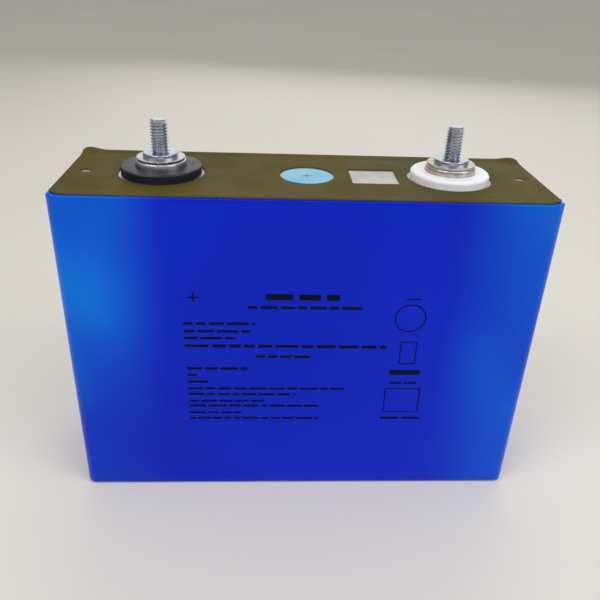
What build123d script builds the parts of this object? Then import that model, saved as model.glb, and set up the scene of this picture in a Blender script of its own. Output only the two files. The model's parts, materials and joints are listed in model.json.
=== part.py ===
from build123d import *
import os

os.makedirs("parts", exist_ok=True)

# Prismatic lithium iron phosphate cell: a drawn aluminium case with a welded lid, dressed in a blue film
# sleeve and a black top sheet, with two wound electrode rolls inside and an M6 stud on each terminal.
#
# Millimetres. The origin is the centre of the base on the floor. +X runs along the wide face towards the
# negative terminal, +Y runs from the printed face to the rear face, and +Z is up.

# ------------------------------------------------------------------------------------------------
# Driving dimensions
# ------------------------------------------------------------------------------------------------

# Outside, over the film
cell_width = 160.3
cell_depth = 50.4
rim_height = 115.0  # floor to the top of the top sheet's rim

# Aluminium case and lid
corner_radius = 3.0  # upright corners of the bare case
wall = 0.8
floor_thickness = 1.2
case_edge_radius = 0.8  # rounded bottom edge of the bare case
lid_flange = 1.0  # the part of the lid that lies on the case's rim
lid_spigot = 1.0  # the part that drops into the mouth
lid_edge_radius = 0.6

# Film sleeve and sheets
film = 0.2
top_lip = 3.5  # how far the sleeve folds in over the lid
bottom_lip = 5.0  # how far it folds in under the case
top_sheet_thickness = 0.4
top_sheet_margin = 0.8  # from the outside of the film to the sheet's edge
bottom_sheet_thickness = 0.25
bottom_sheet_margin = 1.8
sheet_corner_radius = 2.4
sheet_fold = 0.4  # width of the ramp where the top sheet climbs over the sleeve's lip

# Terminals
terminal_from_end = 31.65  # from the narrow face to the stud's axis
disc_radius = 13.25  # outer insulator
disc_height = 3.05
disc_window_radius = 14.0  # hole in the top sheet round the disc
positive_disc_edge = 0.5
negative_disc_edge = 1.1
gate_mark_radius = 0.45
gate_mark_depth = 0.35
gate_mark_from_axis = 10.3
pad_radius = 8.3
pad_height = 2.0  # above the disc
pad_recess = 1.25  # how deep the pad sits in the disc
pad_edge = 0.5
plate_radius = 8.0
plate_thickness = 0.8
plate_edge = 0.15
stud_flange_radius = 5.8
stud_flange_height = 1.5
stud_radius = 2.95  # over the crests of the M6 thread
stud_length = 10.6  # above the flange
stud_end_chamfer = 0.7
undercut_radius = 2.5
undercut_height = 0.5
seat_relief = 0.15  # groove round the undercut: its depth, and how far it clears the thread
post_radius = 4.0
post_base_radius = 7.0
post_base_height = 1.2
post_nipple_radius = 3.5
lid_hole_radius = 5.7
disc_boss_depth = 0.8  # how far the disc reaches into the lid's hole
seal_flange_radius = 6.5

# Vent
vent_window_radius = 9.2  # hole in the top sheet
vent_film_radius = 8.7
vent_film_thickness = 0.1
vent_hole_radius = 7.0
vent_seat_radius = 8.5
vent_seat_depth = 0.6
vent_disc_thickness = 0.3
vent_score_radius = 6.0
vent_score_width = 0.5
vent_score_depth = 0.15
vent_guard_width = 23.0
vent_slot_width = 1.8
vent_slot_pitch = 3.6
vent_slot_count = 4

# Bare windows and marks in the lid and top sheet
code_window_width = 15.8
code_window_depth = 15.5
code_window_gap = 4.0  # from its edge to the hole round the negative disc
dimple_from_end = 6.75  # locating dimples near the narrow faces
dimple_radius = 1.7
dimple_depth = 0.6
dimple_window_radius = 2.5
fill_from_axis = 24.0  # electrolyte filling hole, on the positive side of the vent
fill_hole_radius = 1.5
fill_seat_radius = 3.6
fill_seat_depth = 0.8

# Inside the case
bag_film = 0.15
bag_clearance = 0.25  # bag to case, and roll to bag
bag_corner_radius = 2.0
spacer_thickness = 1.5
spacer_hole_radius = 3.0
spacer_hole_pitch = 24.0
spacer_hole_count = 6
roll_gap = 0.2  # between the two rolls
separator_turn = 0.3
separator_overhang = 1.5
mandrel_gap = 1.0
head_space = 7.0  # from the rolls to the current collectors
inner_insulator = 2.0
insulator_rib = 1.0
insulator_rib_depth = 3.0
collector_thickness = 1.5
collector_width = 46.0
collector_side_gap = 3.0
tab_width = 40.0
tab_thickness = 0.6
tab_foot = 8.0
tape_thickness = 0.1
tape_width = 18.0

# Fits
slip = 0.05  # pieces that slide together before they are welded or pressed
drop_in = 0.15  # plates that drop into the case's mouth

# ------------------------------------------------------------------------------------------------
# Levels and outlines worked out from them
# ------------------------------------------------------------------------------------------------

case_width = cell_width - 2 * film
case_depth = cell_depth - 2 * film
case_bottom = bottom_sheet_thickness + film
case_floor = case_bottom + floor_thickness
lid_top = rim_height - top_sheet_thickness - film
case_rim = lid_top - lid_flange
lid_underside = case_rim - lid_spigot
inner_width = case_width - 2 * wall
inner_depth = case_depth - 2 * wall
inner_corner_radius = corner_radius - wall
film_corner_radius = corner_radius + film

terminal_x = cell_width / 2 - terminal_from_end
disc_top = lid_top + disc_height
pad_bottom = disc_top - pad_recess
pad_top = disc_top + pad_height
plate_top = pad_top + plate_thickness
flange_top = plate_top + stud_flange_height
stud_top = flange_top + stud_length

insulator_underside = lid_underside - inner_insulator
collector_underside = insulator_underside - collector_thickness
post_base_top = insulator_underside + post_base_height

bag_width = inner_width - 2 * bag_clearance
bag_depth = inner_depth - 2 * bag_clearance
bag_top = insulator_underside - insulator_rib_depth
spacer_bottom = case_floor + bag_film
roll_bottom = spacer_bottom + spacer_thickness
roll_top = collector_underside - head_space
roll_width = bag_width - 2 * bag_film - 2 * bag_clearance
roll_depth = (bag_depth - 2 * bag_film - 2 * bag_clearance - roll_gap) / 2
roll_y = (roll_depth + roll_gap) / 2
electrode_bottom = roll_bottom + separator_overhang
electrode_top = roll_top - separator_overhang
electrode_width = roll_width - 2 * separator_turn - 2 * slip
electrode_depth = roll_depth - 2 * separator_turn - 2 * slip

dimple_x = cell_width / 2 - dimple_from_end
code_window_x = terminal_x - disc_window_radius - code_window_gap - code_window_width / 2
guard_half = vent_guard_width / 2

terminals = {
    "positive": {"x": -terminal_x, "side": -1, "edge": positive_disc_edge, "gate": True},
    "negative": {"x": terminal_x, "side": 1, "edge": negative_disc_edge, "gate": False},
}
rolls = {"front": -roll_y, "rear": roll_y}


def save(builder, label):
    """Label a finished sub-part and write it to its own STEP file."""
    builder.part.label = label
    export_step(builder.part, f"parts/{label}.step")


def level(z, x=0, y=0):
    """Horizontal plane at height z, with its origin over the point x, y."""
    return Plane((x, y, z))


# ------------------------------------------------------------------------------------------------
# Case: drawn can, lid, sleeve and sheets
# ------------------------------------------------------------------------------------------------

with BuildPart() as can:
    with BuildSketch(level(case_bottom)):
        RectangleRounded(case_width, case_depth, corner_radius)
    extrude(amount=case_rim - case_bottom)
    fillet(can.faces().sort_by(Axis.Z)[0].edges(), case_edge_radius)
    with BuildSketch(level(case_floor)):
        RectangleRounded(inner_width, inner_depth, inner_corner_radius)
    extrude(amount=case_rim - case_floor, mode=Mode.SUBTRACT)
save(can, "can")

with BuildPart() as lid:
    with BuildSketch(level(case_rim)):
        RectangleRounded(case_width, case_depth, corner_radius)
    extrude(amount=lid_flange)
    fillet(lid.faces().sort_by(Axis.Z)[-1].edges(), lid_edge_radius)
    with BuildSketch(level(case_rim)):
        RectangleRounded(inner_width - 2 * drop_in, inner_depth - 2 * drop_in, inner_corner_radius)
    extrude(amount=-lid_spigot)
    with Locations((-terminal_x, 0, lid_top), (terminal_x, 0, lid_top)):
        Hole(lid_hole_radius)
    with Locations((0, 0, lid_top)):
        Hole(vent_hole_radius)
    with BuildSketch(level(lid_underside)):
        Circle(vent_seat_radius)
    extrude(amount=vent_seat_depth, mode=Mode.SUBTRACT)
    with Locations((-fill_from_axis, 0, lid_top)):
        CounterBoreHole(fill_hole_radius, fill_seat_radius, fill_seat_depth)
    with Locations((-dimple_x, 0, lid_top), (dimple_x, 0, lid_top)):
        Hole(dimple_radius, depth=dimple_depth)
save(lid, "lid")

with BuildPart() as sleeve:
    with BuildSketch(level(bottom_sheet_thickness)):
        RectangleRounded(cell_width, cell_depth, film_corner_radius)
    extrude(amount=lid_top + film - bottom_sheet_thickness)
    fillet(sleeve.faces().sort_by(Axis.Z)[-1].edges(), lid_edge_radius + film)
    fillet(sleeve.faces().sort_by(Axis.Z)[0].edges(), case_edge_radius + film)
    with BuildPart(mode=Mode.PRIVATE) as sleeve_core:
        with BuildSketch(level(case_bottom)):
            RectangleRounded(case_width, case_depth, corner_radius)
        extrude(amount=lid_top - case_bottom)
        fillet(sleeve_core.faces().sort_by(Axis.Z)[-1].edges(), lid_edge_radius)
        fillet(sleeve_core.faces().sort_by(Axis.Z)[0].edges(), case_edge_radius)
    add(sleeve_core.part, mode=Mode.SUBTRACT)
    with BuildSketch(level(lid_top)):
        RectangleRounded(cell_width - 2 * top_lip, cell_depth - 2 * top_lip, sheet_corner_radius)
    extrude(amount=film, mode=Mode.SUBTRACT)
    with BuildSketch(level(bottom_sheet_thickness)):
        RectangleRounded(cell_width - 2 * bottom_lip, cell_depth - 2 * bottom_lip, sheet_corner_radius)
    extrude(amount=film, mode=Mode.SUBTRACT)
save(sleeve, "sleeve")

with BuildPart() as top_sheet:
    with BuildSketch(level(lid_top + film)):
        RectangleRounded(
            cell_width - 2 * top_sheet_margin, cell_depth - 2 * top_sheet_margin, sheet_corner_radius
        )
    extrude(amount=top_sheet_thickness)
    # the middle is stuck down on the lid, inside the sleeve's lip
    with BuildSketch(level(lid_top)):
        RectangleRounded(
            cell_width - 2 * (top_lip + slip), cell_depth - 2 * (top_lip + slip), sheet_corner_radius - slip
        )
    extrude(amount=film)
    with BuildSketch(level(lid_top + top_sheet_thickness)):
        RectangleRounded(
            cell_width - 2 * (top_lip + sheet_fold),
            cell_depth - 2 * (top_lip + sheet_fold),
            sheet_corner_radius - sheet_fold,
        )
    extrude(amount=film, mode=Mode.SUBTRACT)
    with Locations((-terminal_x, 0, lid_top), (terminal_x, 0, lid_top)):
        Hole(disc_window_radius)
    with Locations((0, 0, lid_top)):
        Hole(vent_window_radius)
    with Locations((-dimple_x, 0, lid_top), (dimple_x, 0, lid_top)):
        Hole(dimple_window_radius)
    with BuildSketch(level(lid_top, code_window_x)):
        Rectangle(code_window_width, code_window_depth)
    extrude(amount=film + top_sheet_thickness, mode=Mode.SUBTRACT)
save(top_sheet, "top_sheet")

with BuildPart() as bottom_sheet:
    with BuildSketch():
        RectangleRounded(
            cell_width - 2 * bottom_sheet_margin, cell_depth - 2 * bottom_sheet_margin, sheet_corner_radius
        )
    extrude(amount=bottom_sheet_thickness)
    # the middle is stuck to the case's floor, inside the sleeve's lip
    with BuildSketch(level(bottom_sheet_thickness)):
        RectangleRounded(
            cell_width - 2 * (bottom_lip + slip), cell_depth - 2 * (bottom_lip + slip), sheet_corner_radius - slip
        )
    extrude(amount=film)
save(bottom_sheet, "bottom_sheet")

# ------------------------------------------------------------------------------------------------
# Terminals
# ------------------------------------------------------------------------------------------------

for polarity, terminal in terminals.items():
    x = terminal["x"]

    with BuildPart() as outer_insulator:
        with BuildSketch(level(lid_top, x)):
            Circle(disc_radius)
        extrude(amount=disc_height)
        fillet(outer_insulator.edges().sort_by(Axis.Z)[-1], terminal["edge"])
        with BuildSketch(level(pad_bottom, x)):
            Circle(pad_radius + slip)
        extrude(amount=pad_recess, mode=Mode.SUBTRACT)
        with BuildSketch(level(lid_top, x)):
            Circle(lid_hole_radius - slip)
        extrude(amount=-disc_boss_depth)
        with Locations((x, 0, disc_top)):
            Hole(post_radius + slip)
        if terminal["gate"]:
            with Locations((x + gate_mark_from_axis, 0, disc_top)):
                Hole(gate_mark_radius, depth=gate_mark_depth)
    save(outer_insulator, f"{polarity}_outer_insulator")

    with BuildPart() as terminal_pad:
        with BuildSketch(level(pad_bottom, x)):
            Circle(pad_radius)
            Circle(post_radius + slip, mode=Mode.SUBTRACT)
        extrude(amount=pad_recess + pad_height)
        chamfer(terminal_pad.faces().sort_by(Axis.Z)[-1].outer_wire().edges(), pad_edge)
    save(terminal_pad, f"{polarity}_pad")

    with BuildPart() as rivet_post:
        with BuildSketch(level(insulator_underside, x)):
            Circle(post_base_radius)
        extrude(amount=post_base_height)
        with BuildSketch(level(post_base_top, x)):
            Circle(post_radius)
        extrude(amount=pad_top - post_base_top)
        with BuildSketch(level(insulator_underside, x)):
            Circle(post_nipple_radius)
        extrude(amount=-collector_thickness)
    save(rivet_post, f"{polarity}_post")

    with BuildPart() as seal_ring:
        with BuildSketch(level(post_base_top, x)):
            Circle(lid_hole_radius - slip)
            Circle(post_radius + slip, mode=Mode.SUBTRACT)
        extrude(amount=lid_top - disc_boss_depth - post_base_top)
        with BuildSketch(level(post_base_top, x)):
            Circle(seal_flange_radius)
            Circle(post_radius + slip, mode=Mode.SUBTRACT)
        extrude(amount=lid_underside - post_base_top)
    save(seal_ring, f"{polarity}_seal_ring")

    with BuildPart() as stud_plate:
        with BuildSketch(level(pad_top, x)):
            Circle(plate_radius)
        extrude(amount=plate_thickness)
        chamfer(stud_plate.edges(), plate_edge)
    save(stud_plate, f"{polarity}_stud_plate")

    with BuildPart() as stud:
        with BuildSketch(level(plate_top, x)):
            Circle(stud_flange_radius)
        extrude(amount=stud_flange_height)
        with BuildSketch(level(flange_top, x)):
            Circle(stud_radius + seat_relief)
        extrude(amount=-seat_relief, mode=Mode.SUBTRACT)
        with BuildSketch(level(flange_top - seat_relief, x)):
            Circle(undercut_radius)
        extrude(amount=undercut_height + seat_relief)
        with BuildSketch(level(flange_top + undercut_height, x)):
            Circle(stud_radius)
        extrude(amount=stud_length - undercut_height)
        chamfer(stud.edges().sort_by(Axis.Z)[-1], stud_end_chamfer)
    save(stud, f"{polarity}_stud")

    # inner insulator: a plate under the lid from the vent guard to the end of the mouth, ribbed below
    plate_start = guard_half + drop_in
    plate_length = bag_width / 2 - plate_start
    plate_x = terminal["side"] * (plate_start + plate_length / 2)
    with BuildPart() as insulator_plate:
        with BuildSketch(level(insulator_underside)):
            RectangleRounded(bag_width, bag_depth, bag_corner_radius)
            with Locations((plate_x, 0)):
                Rectangle(plate_length, bag_depth, mode=Mode.INTERSECT)
        extrude(amount=inner_insulator)
        with BuildSketch(level(insulator_underside)):
            RectangleRounded(bag_width, bag_depth, bag_corner_radius)
            RectangleRounded(
                bag_width - 2 * insulator_rib,
                bag_depth - 2 * insulator_rib,
                bag_corner_radius - insulator_rib,
                mode=Mode.SUBTRACT,
            )
            with Locations((plate_x, 0)):
                Rectangle(plate_length, bag_depth, mode=Mode.INTERSECT)
        extrude(amount=-insulator_rib_depth)
        with Locations((x, 0, lid_underside)):
            Hole(post_base_radius + slip)
    save(insulator_plate, f"{polarity}_inner_insulator")

    with BuildPart() as collector:
        with BuildSketch(level(collector_underside, x)):
            RectangleRounded(collector_width, bag_depth - 2 * insulator_rib - 2 * collector_side_gap, corner_radius)
            Circle(post_nipple_radius + slip, mode=Mode.SUBTRACT)
        extrude(amount=collector_thickness)
    save(collector, f"{polarity}_collector")

    # a stack of foil tabs rises from each roll and folds outwards against the collector
    with BuildPart() as tabs:
        for side in (-1, 1):
            foot_centre = side * (roll_y + (tab_foot - tab_thickness) / 2)
            with BuildSketch(level(electrode_top, x, side * roll_y)):
                Rectangle(tab_width, tab_thickness)
            extrude(amount=collector_underside - electrode_top)
            with BuildSketch(level(collector_underside, x, foot_centre)):
                Rectangle(tab_width, tab_foot)
            extrude(amount=-tab_thickness)
    save(tabs, f"{polarity}_tabs")

# ------------------------------------------------------------------------------------------------
# Vent and filling hole
# ------------------------------------------------------------------------------------------------

vent_disc_top = lid_underside + vent_seat_depth
with BuildPart() as vent_disc:
    with BuildSketch(level(vent_disc_top)):
        Circle(vent_seat_radius - slip)
    extrude(amount=-vent_disc_thickness)
    with BuildSketch(level(vent_disc_top)):
        Circle(vent_score_radius)
        Circle(vent_score_radius - vent_score_width, mode=Mode.SUBTRACT)
    extrude(amount=-vent_score_depth, mode=Mode.SUBTRACT)
save(vent_disc, "vent_disc")

with BuildPart() as vent_cover_film:
    with BuildSketch(level(lid_top)):
        Circle(vent_film_radius)
    extrude(amount=vent_film_thickness)
save(vent_cover_film, "vent_film")

with BuildPart() as vent_guard:
    with BuildSketch(level(insulator_underside)):
        Rectangle(vent_guard_width, bag_depth)
        with GridLocations(vent_slot_pitch, 0, vent_slot_count, 1):
            SlotOverall(2 * vent_hole_radius, vent_slot_width, rotation=90, mode=Mode.SUBTRACT)
    extrude(amount=inner_insulator)
save(vent_guard, "vent_guard")

with BuildPart() as fill_bung:
    with BuildSketch(level(lid_underside, -fill_from_axis)):
        Circle(fill_hole_radius - slip)
    extrude(amount=lid_top - fill_seat_depth - lid_underside)
save(fill_bung, "fill_bung")

with BuildPart() as fill_plug:
    with BuildSketch(level(lid_top - fill_seat_depth, -fill_from_axis)):
        Circle(fill_seat_radius - slip)
    extrude(amount=fill_seat_depth)
save(fill_plug, "fill_plug")

# ------------------------------------------------------------------------------------------------
# Electrode rolls, bag and spacer
# ------------------------------------------------------------------------------------------------

for place, y in rolls.items():
    with BuildPart() as winding:
        with BuildSketch(level(electrode_bottom, 0, y)):
            SlotOverall(electrode_width, electrode_depth)
            SlotOverall(electrode_width - electrode_depth, mandrel_gap, mode=Mode.SUBTRACT)
        extrude(amount=electrode_top - electrode_bottom)
    save(winding, f"{place}_winding")

    with BuildPart() as separator:
        with BuildSketch(level(roll_bottom, 0, y)):
            SlotOverall(roll_width, roll_depth)
            SlotOverall(
                roll_width - 2 * separator_turn, roll_depth - 2 * separator_turn, mode=Mode.SUBTRACT
            )
        extrude(amount=roll_top - roll_bottom)
    save(separator, f"{place}_separator")

    # adhesive tape that closes the roll's last turn, on the face towards the case
    tape_y = y + (roll_depth / 2 if y > 0 else -roll_depth / 2 - tape_thickness)
    with BuildPart() as roll_tape:
        with BuildSketch(level(roll_bottom, 0, tape_y + tape_thickness / 2)):
            Rectangle(tape_width, tape_thickness)
        extrude(amount=roll_top - roll_bottom)
    save(roll_tape, f"{place}_roll_tape")

with BuildPart() as bag:
    with BuildSketch(level(case_floor)):
        RectangleRounded(bag_width, bag_depth, bag_corner_radius)
    extrude(amount=bag_top - case_floor)
    with BuildSketch(level(spacer_bottom)):
        RectangleRounded(bag_width - 2 * bag_film, bag_depth - 2 * bag_film, bag_corner_radius - bag_film)
    extrude(amount=bag_top - spacer_bottom, mode=Mode.SUBTRACT)
save(bag, "insulation_bag")

with BuildPart() as spacer:
    with BuildSketch(level(spacer_bottom)):
        RectangleRounded(roll_width, 2 * roll_depth + roll_gap, bag_corner_radius)
        with GridLocations(spacer_hole_pitch, 2 * roll_y, spacer_hole_count, 2):
            Circle(spacer_hole_radius, mode=Mode.SUBTRACT)
    extrude(amount=spacer_thickness)
save(spacer, "bottom_spacer")
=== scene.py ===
"""The looks of a prismatic battery cell in blue film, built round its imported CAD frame."""

import json
import logging
import math
import random
from dataclasses import dataclass, field
from enum import Enum
from functools import cache
from typing import Callable, Sequence

import bmesh
import bpy
from mathutils import Matrix, Vector, noise


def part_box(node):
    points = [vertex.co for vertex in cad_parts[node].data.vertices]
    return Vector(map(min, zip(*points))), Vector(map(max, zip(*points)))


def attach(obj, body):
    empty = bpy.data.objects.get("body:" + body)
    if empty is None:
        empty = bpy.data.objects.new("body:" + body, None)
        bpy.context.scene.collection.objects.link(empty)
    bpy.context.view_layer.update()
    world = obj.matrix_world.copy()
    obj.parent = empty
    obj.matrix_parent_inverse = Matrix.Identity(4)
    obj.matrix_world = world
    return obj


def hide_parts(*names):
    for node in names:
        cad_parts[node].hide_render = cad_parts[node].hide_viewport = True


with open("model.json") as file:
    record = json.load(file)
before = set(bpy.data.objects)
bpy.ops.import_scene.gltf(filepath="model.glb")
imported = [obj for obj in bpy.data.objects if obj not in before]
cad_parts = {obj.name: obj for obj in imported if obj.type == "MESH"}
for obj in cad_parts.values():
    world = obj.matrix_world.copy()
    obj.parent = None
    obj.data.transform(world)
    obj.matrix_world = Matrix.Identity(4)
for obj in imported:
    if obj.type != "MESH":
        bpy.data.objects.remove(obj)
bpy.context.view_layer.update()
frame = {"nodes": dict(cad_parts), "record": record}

MM = 0.001
BODY = "root"
CRISP_ANGLE = 30.0  # degrees: an edge that turns more than this stays crisp
SAME_POINT = 0.002  # millimetres: points closer than this are one
log = logging.getLogger("cell")

Tree = bpy.types.NodeTree
Socket = bpy.types.NodeSocket
Point = tuple[float, float, float]
Place = tuple[float, float]
Ring = list[Point]
Shape = Callable[[float, float, float], Place]  # angle, radius and height to the real radius and height


class Polarity(Enum):
    """The two terminals of the cell."""

    POSITIVE = "positive"
    NEGATIVE = "negative"


# ------------------------------------------------------------------------------------------------
# Colour, nodes and meshes
# ------------------------------------------------------------------------------------------------


def linear(hex_colour: str) -> tuple[float, float, float, float]:
    """Turns an sRGB hex colour to linear RGBA.

    Args:
        hex_colour: A colour such as "#1234ab".

    Returns:
        The linear red, green and blue, and an alpha of 1.
    """
    channels = [int(hex_colour[i : i + 2], 16) / 255 for i in (1, 3, 5)]
    red, green, blue = (c / 12.92 if c <= 0.04045 else ((c + 0.055) / 1.055) ** 2.4 for c in channels)
    return (red, green, blue, 1.0)


def add_node(
    tree: Tree, kind: str, inputs: dict[str | int, object] | None = None, **settings: object
) -> bpy.types.Node:
    """Adds one shader node.

    Args:
        tree: The material's node tree.
        kind: The node's type, without the "ShaderNode" in front.
        inputs: Socket names or numbers, each with a value or with the output socket that feeds it.
        settings: The node's own properties.

    Returns:
        The new node.
    """
    node = tree.nodes.new(f"ShaderNode{kind}")
    for name, value in settings.items():
        setattr(node, name, value)
    for name, value in (inputs or {}).items():
        if isinstance(value, Socket):
            tree.links.new(value, node.inputs[name])
        else:
            node.inputs[name].default_value = value
    return node


def per_mm(size_mm: float) -> float:
    """Turns the size of a pattern's repeat in millimetres to the scale that a texture node takes."""
    return 1 / (size_mm * MM)


def span(
    value: Socket, low: float, high: float, to_low: float, to_high: float
) -> dict[str | int, object]:
    """Gives the inputs that map a value from one range to another.

    Args:
        value: The output to map.
        low: Where its range starts.
        high: Where its range ends.
        to_low: What low becomes.
        to_high: What high becomes.

    Returns:
        The inputs, by the name of their socket.
    """
    return {"Value": value, "From Min": low, "From Max": high, "To Min": to_low, "To Max": to_high}


def mesh_object(
    name: str, points: Sequence[Point], faces: Sequence[Sequence[int]], sharp: float = CRISP_ANGLE
) -> bpy.types.Object:
    """Makes a smooth-shaded mesh object with crisp edges, its points given in millimetres.

    Args:
        name: The piece's name.
        points: Corners, in millimetres.
        faces: Corner numbers of each face.
        sharp: Edges that turn more than this many degrees stay crisp.

    Returns:
        The new object, linked to the scene.
    """
    mesh = bpy.data.meshes.new(name)
    mesh.from_pydata([Vector(p) * MM for p in points], [], faces)
    mesh.validate()
    return finished_object(name, mesh, sharp)


def finished_object(name: str, mesh: bpy.types.Mesh, sharp: float = CRISP_ANGLE) -> bpy.types.Object:
    """Turns a mesh's faces outwards, smooths its shading and puts it in the scene.

    Args:
        name: The piece's name.
        mesh: The mesh, in metres.
        sharp: Edges that turn more than this many degrees stay crisp.

    Returns:
        The new object.
    """
    cleaner = bmesh.new()
    cleaner.from_mesh(mesh)
    bmesh.ops.remove_doubles(cleaner, verts=cleaner.verts, dist=SAME_POINT * MM)
    bmesh.ops.recalc_face_normals(cleaner, faces=cleaner.faces)
    cleaner.to_mesh(mesh)
    cleaner.free()
    mesh.shade_smooth()
    mesh.set_sharp_from_angle(angle=math.radians(sharp))
    piece = bpy.data.objects.new(name, mesh)
    bpy.context.scene.collection.objects.link(piece)
    return piece


def skin_of_rings(
    name: str, rings: Sequence[Ring], capped: bool = True, sharp: float = CRISP_ANGLE
) -> bpy.types.Object:
    """Joins rings of equal length into a skin.

    Args:
        name: The piece's name.
        rings: Rings of points in millimetres, from one end to the other.
        capped: True to close both ends with a face, False to join the last ring to the first.
        sharp: Edges that turn more than this many degrees stay crisp.

    Returns:
        The new object.
    """
    size = len(rings[0])
    points = [p for ring in rings for p in ring]
    spans = len(rings) - 1 if capped else len(rings)
    faces: list[list[int]] = []
    for row in range(spans):
        low, high = row * size, (row + 1) % len(rings) * size
        faces += [[low + i, low + (i + 1) % size, high + (i + 1) % size, high + i] for i in range(size)]
    if capped:
        faces.append(list(range(size)))
        faces.append([(len(rings) - 1) * size + i for i in range(size)])
    return mesh_object(name, points, faces, sharp)


def lathe(
    name: str,
    profile: Sequence[Place],
    centre: Place,
    steps: int = 128,
    shape: Shape | None = None,
    ring: bool = False,
    sharp: float = CRISP_ANGLE,
) -> bpy.types.Object:
    """Turns a profile round an upright axis.

    Args:
        name: The piece's name.
        profile: Radius and height of each point, in millimetres.
        centre: The axis's x and y.
        steps: Points round the axis.
        shape: Takes the angle, radius and height of a point, and returns its real radius and height.
        ring: True if the profile closes on itself, as for a ring, False if its ends lie on flat caps.
        sharp: Edges that turn more than this many degrees stay crisp.

    Returns:
        The new object.
    """
    rings: list[Ring] = []
    for radius, height in profile:
        row: Ring = []
        for i in range(steps):
            angle = 2 * math.pi * i / steps
            r, z = shape(angle, radius, height) if shape else (radius, height)
            row.append((centre[0] + r * math.cos(angle), centre[1] + r * math.sin(angle), z))
        rings.append(row)
    return skin_of_rings(name, rings, capped=not ring, sharp=sharp)


def arc(centre: Place, radius: float, start: float, end: float, steps: int) -> list[Place]:
    """Gives points on a circular arc of a profile.

    Args:
        centre: The arc's centre, as radius and height.
        radius: The arc's radius.
        start: Angle of the first point, in degrees.
        end: Angle of the last point, in degrees.
        steps: Number of spans.

    Returns:
        The points, both ends included.
    """
    angles = [math.radians(start + (end - start) * i / steps) for i in range(steps + 1)]
    return [(centre[0] + radius * math.cos(a), centre[1] + radius * math.sin(a)) for a in angles]


def smoothstep(low: float, high: float, value: float) -> float:
    """Climbs smoothly from 0 at low to 1 at high."""
    t = min(max((value - low) / (high - low), 0.0), 1.0)
    return t * t * (3 - 2 * t)


def rounded_rectangle(
    width: float, depth: float, radius: float, along: int, across: int, turn: int
) -> list[Place]:
    """Gives the outline of a rounded rectangle centred on the origin, anticlockwise.

    Args:
        width: Size along X.
        depth: Size along Y.
        radius: Corner radius.
        along: Spans on each side along X.
        across: Spans on each side along Y.
        turn: Spans in each corner.

    Returns:
        The outline's points, always the same number for the same spans.
    """
    half_x, half_y = width / 2 - radius, depth / 2 - radius
    corners = [(half_x, -half_y, -90), (half_x, half_y, 0), (-half_x, half_y, 90), (-half_x, -half_y, 180)]
    outline: list[Place] = []
    for i, (x, y, start) in enumerate(corners):
        outline += arc((x, y), radius, start, start + 90, turn)
        nx, ny, begin = corners[(i + 1) % 4]
        first, last = outline[-1], arc((nx, ny), radius, begin, begin, 1)[0]
        spans = across if i % 2 == 0 else along
        outline += [
            (first[0] + (last[0] - first[0]) * k / spans, first[1] + (last[1] - first[1]) * k / spans)
            for k in range(1, spans)
        ]
    return outline


def cut(piece: bpy.types.Object, operation: str, cutter: bpy.types.Object) -> None:
    """Cuts a piece with a cutter and removes the cutter.

    Args:
        piece: The piece.
        operation: "DIFFERENCE" to take the cutter's shape away, "INTERSECT" to keep only what lies in it.
        cutter: A closed mesh object.
    """
    modifier = piece.modifiers.new("cut", "BOOLEAN")
    modifier.operation = operation
    modifier.object = cutter
    modifier.solver = "EXACT"
    bpy.context.view_layer.update()
    result = bpy.data.meshes.new_from_object(piece.evaluated_get(bpy.context.evaluated_depsgraph_get()))
    piece.modifiers.remove(modifier)
    piece.data = result
    result.set_sharp_from_angle(angle=math.radians(CRISP_ANGLE))
    bpy.data.objects.remove(cutter)


@cache
def node_box(node: str) -> tuple[Vector, Vector]:
    """Gives a CAD node's lowest and highest corners in millimetres."""
    low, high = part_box(node)
    return Vector(low) / MM, Vector(high) / MM


def dress(piece: bpy.types.Object, material: bpy.types.Material, slot: str, *stands_for: str) -> None:
    """Gives a new piece its material and its body, hides the CAD nodes it stands for, and logs its finish slot.

    Args:
        piece: The new piece.
        material: Its material.
        slot: The record's material slot.
        stands_for: CAD nodes that it replaces.
    """
    piece.data.materials.clear()
    piece.data.materials.append(material)
    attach(piece, BODY)
    if stands_for:
        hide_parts(*stands_for)
    log.info("%s: %d faces, slot %s", piece.name, len(piece.data.polygons), slot)


def dress_node(node: str, material: bpy.types.Material) -> None:
    """Gives a CAD node that stays its material."""
    mesh = frame["nodes"][node].data
    mesh.materials.clear()
    mesh.materials.append(material)
    log.info("%s: CAD node in %s", node, material.name)


# ------------------------------------------------------------------------------------------------
# Finishes
# ------------------------------------------------------------------------------------------------

SMOOTH = {"interpolation_type": "SMOOTHSTEP"}


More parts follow.
